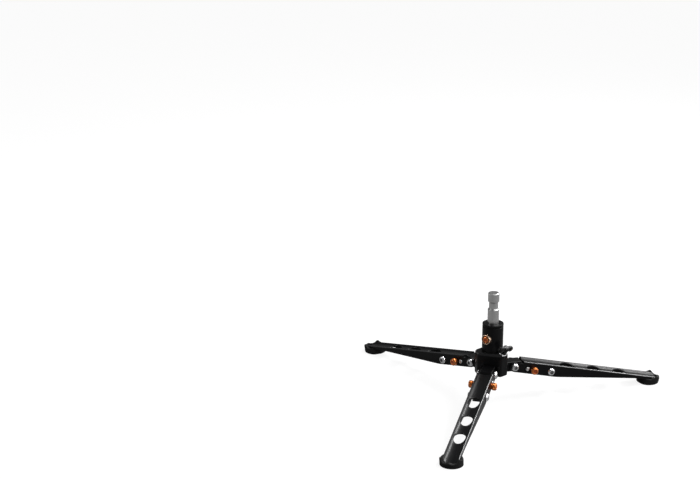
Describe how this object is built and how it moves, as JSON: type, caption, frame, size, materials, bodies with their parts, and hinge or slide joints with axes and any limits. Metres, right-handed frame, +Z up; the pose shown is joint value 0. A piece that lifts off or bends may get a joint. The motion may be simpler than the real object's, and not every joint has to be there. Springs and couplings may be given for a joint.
{
  "type": "low light stand",
  "caption": "Low floor stand for stage lights: folding channel legs with pull-knob locks on a cast hub, and a turning column with a release button and a 16 mm spigot",
  "frame": {"origin": "the floor, under the centre of the stand's bounding box", "axes": "+Z up; the front leg runs along -Y, and +X runs from the left foot to the right foot"},
  "size_m": [0.4482, 0.3925, 0.156],
  "materials": {
    "black_paint": "satin black powder coat",
    "black_rubber": "matt moulded rubber",
    "black_plastic": "moulded black nylon, slightly glossy",
    "black_nylon": "plain nylon",
    "chrome": "bright chrome plate",
    "steel": "turned, zinc plated",
    "spring_steel": "drawn wire",
    "orange_anodised": "turned aluminium, anodised copper orange",
    "copper_trim": "polished aluminium, anodised pale copper"
  },
  "bodies": {
    "stand": {"hub_body": "black_paint", "clamp_ferrule": "chrome"},
    "column": {"column": "black_paint", "column_collar": "black_paint", "column_cap": "steel", "cap_screw": "steel", "spigot": "steel", "button_bezel": "copper_trim", "button_spring": "spring_steel", "lock_pin_spring": "spring_steel"},
    "release": {"release_button": "orange_anodised", "lock_pin": "steel"},
    "clamp": {"wing_handle": "black_plastic", "clamp_stud": "steel"},
    "leg_front": {"leg_front": "black_paint", "pivot_bolt_front": "chrome", "pivot_nut_front": "chrome", "pivot_washer_front_a": "black_nylon", "pivot_washer_front_b": "black_nylon", "anchor_bolt_front": "chrome", "anchor_nut_front": "chrome", "guide_pin_front": "chrome", "foot_front": "black_rubber", "foot_screw_front": "steel", "slider_spring_front": "spring_steel"},
    "lock_front": {"lock_slider_front": "steel", "pull_knob_front_a": "orange_anodised", "pull_knob_front_b": "orange_anodised"},
    "leg_right": {"leg_right": "black_paint", "pivot_bolt_right": "chrome", "pivot_nut_right": "chrome", "pivot_washer_right_a": "black_nylon", "pivot_washer_right_b": "black_nylon", "anchor_bolt_right": "chrome", "anchor_nut_right": "chrome", "guide_pin_right": "chrome", "foot_right": "black_rubber", "foot_screw_right": "steel", "slider_spring_right": "spring_steel"},
    "lock_right": {"lock_slider_right": "steel", "pull_knob_right_a": "orange_anodised", "pull_knob_right_b": "orange_anodised"},
    "leg_left": {"leg_left": "black_paint", "pivot_bolt_left": "chrome", "pivot_nut_left": "chrome", "pivot_washer_left_a": "black_nylon", "pivot_washer_left_b": "black_nylon", "anchor_bolt_left": "chrome", "anchor_nut_left": "chrome", "guide_pin_left": "chrome", "foot_left": "black_rubber", "foot_screw_left": "steel", "slider_spring_left": "spring_steel"},
    "lock_left": {"lock_slider_left": "steel", "pull_knob_left_a": "orange_anodised", "pull_knob_left_b": "orange_anodised"}
  },
  "joints": [
    {"name": "leg_front_fold", "type": "hinge", "parent": "stand", "child": "leg_front", "pos_m": [0, 0.02907, 0.0448], "axis": [-1, 0, 0], "range_deg": [0, 102]},
    {"name": "lock_front_pull", "type": "slide", "parent": "leg_front", "child": "lock_front", "axis": [0, -0.9781, -0.2079], "range_m": [0, 0.003], "stiffness_N_per_m": 400, "springref_m": -0.008, "deforming": ["slider_spring_front"]},
    {"name": "leg_right_fold", "type": "hinge", "parent": "stand", "child": "leg_right", "pos_m": [0.02685, 0.07557, 0.0448], "axis": [0.5, -0.866, 0], "range_deg": [0, 102]},
    {"name": "lock_right_pull", "type": "slide", "parent": "leg_right", "child": "lock_right", "axis": [0.8471, 0.4891, -0.2079], "range_m": [0, 0.003], "stiffness_N_per_m": 400, "springref_m": -0.008, "deforming": ["slider_spring_right"]},
    {"name": "leg_left_fold", "type": "hinge", "parent": "stand", "child": "leg_left", "pos_m": [-0.02685, 0.07557, 0.0448], "axis": [0.5, 0.866, 0], "range_deg": [0, 102]},
    {"name": "lock_left_pull", "type": "slide", "parent": "leg_left", "child": "lock_left", "axis": [-0.8471, 0.4891, -0.2079], "range_m": [0, 0.003], "stiffness_N_per_m": 400, "springref_m": -0.008, "deforming": ["slider_spring_left"]},
    {"name": "column_turn", "type": "hinge", "parent": "stand", "child": "column", "pos_m": [0, 0.06007, 0.09], "axis": [0, 0, 1], "continuous": true},
    {"name": "button_press", "type": "slide", "parent": "column", "child": "release", "axis": [0.3778, 0.9259, 0], "range_m": [0, 0.0024], "stiffness_N_per_m": 600, "springref_m": -0.003, "deforming": ["button_spring", "lock_pin_spring"]},
    {"name": "clamp_turn", "type": "hinge", "parent": "stand", "child": "clamp", "pos_m": [0.01728, 0.04841, 0.0703], "axis": [0.4515, -0.3046, 0.8387], "range_deg": [0, 360]}
  ]
}
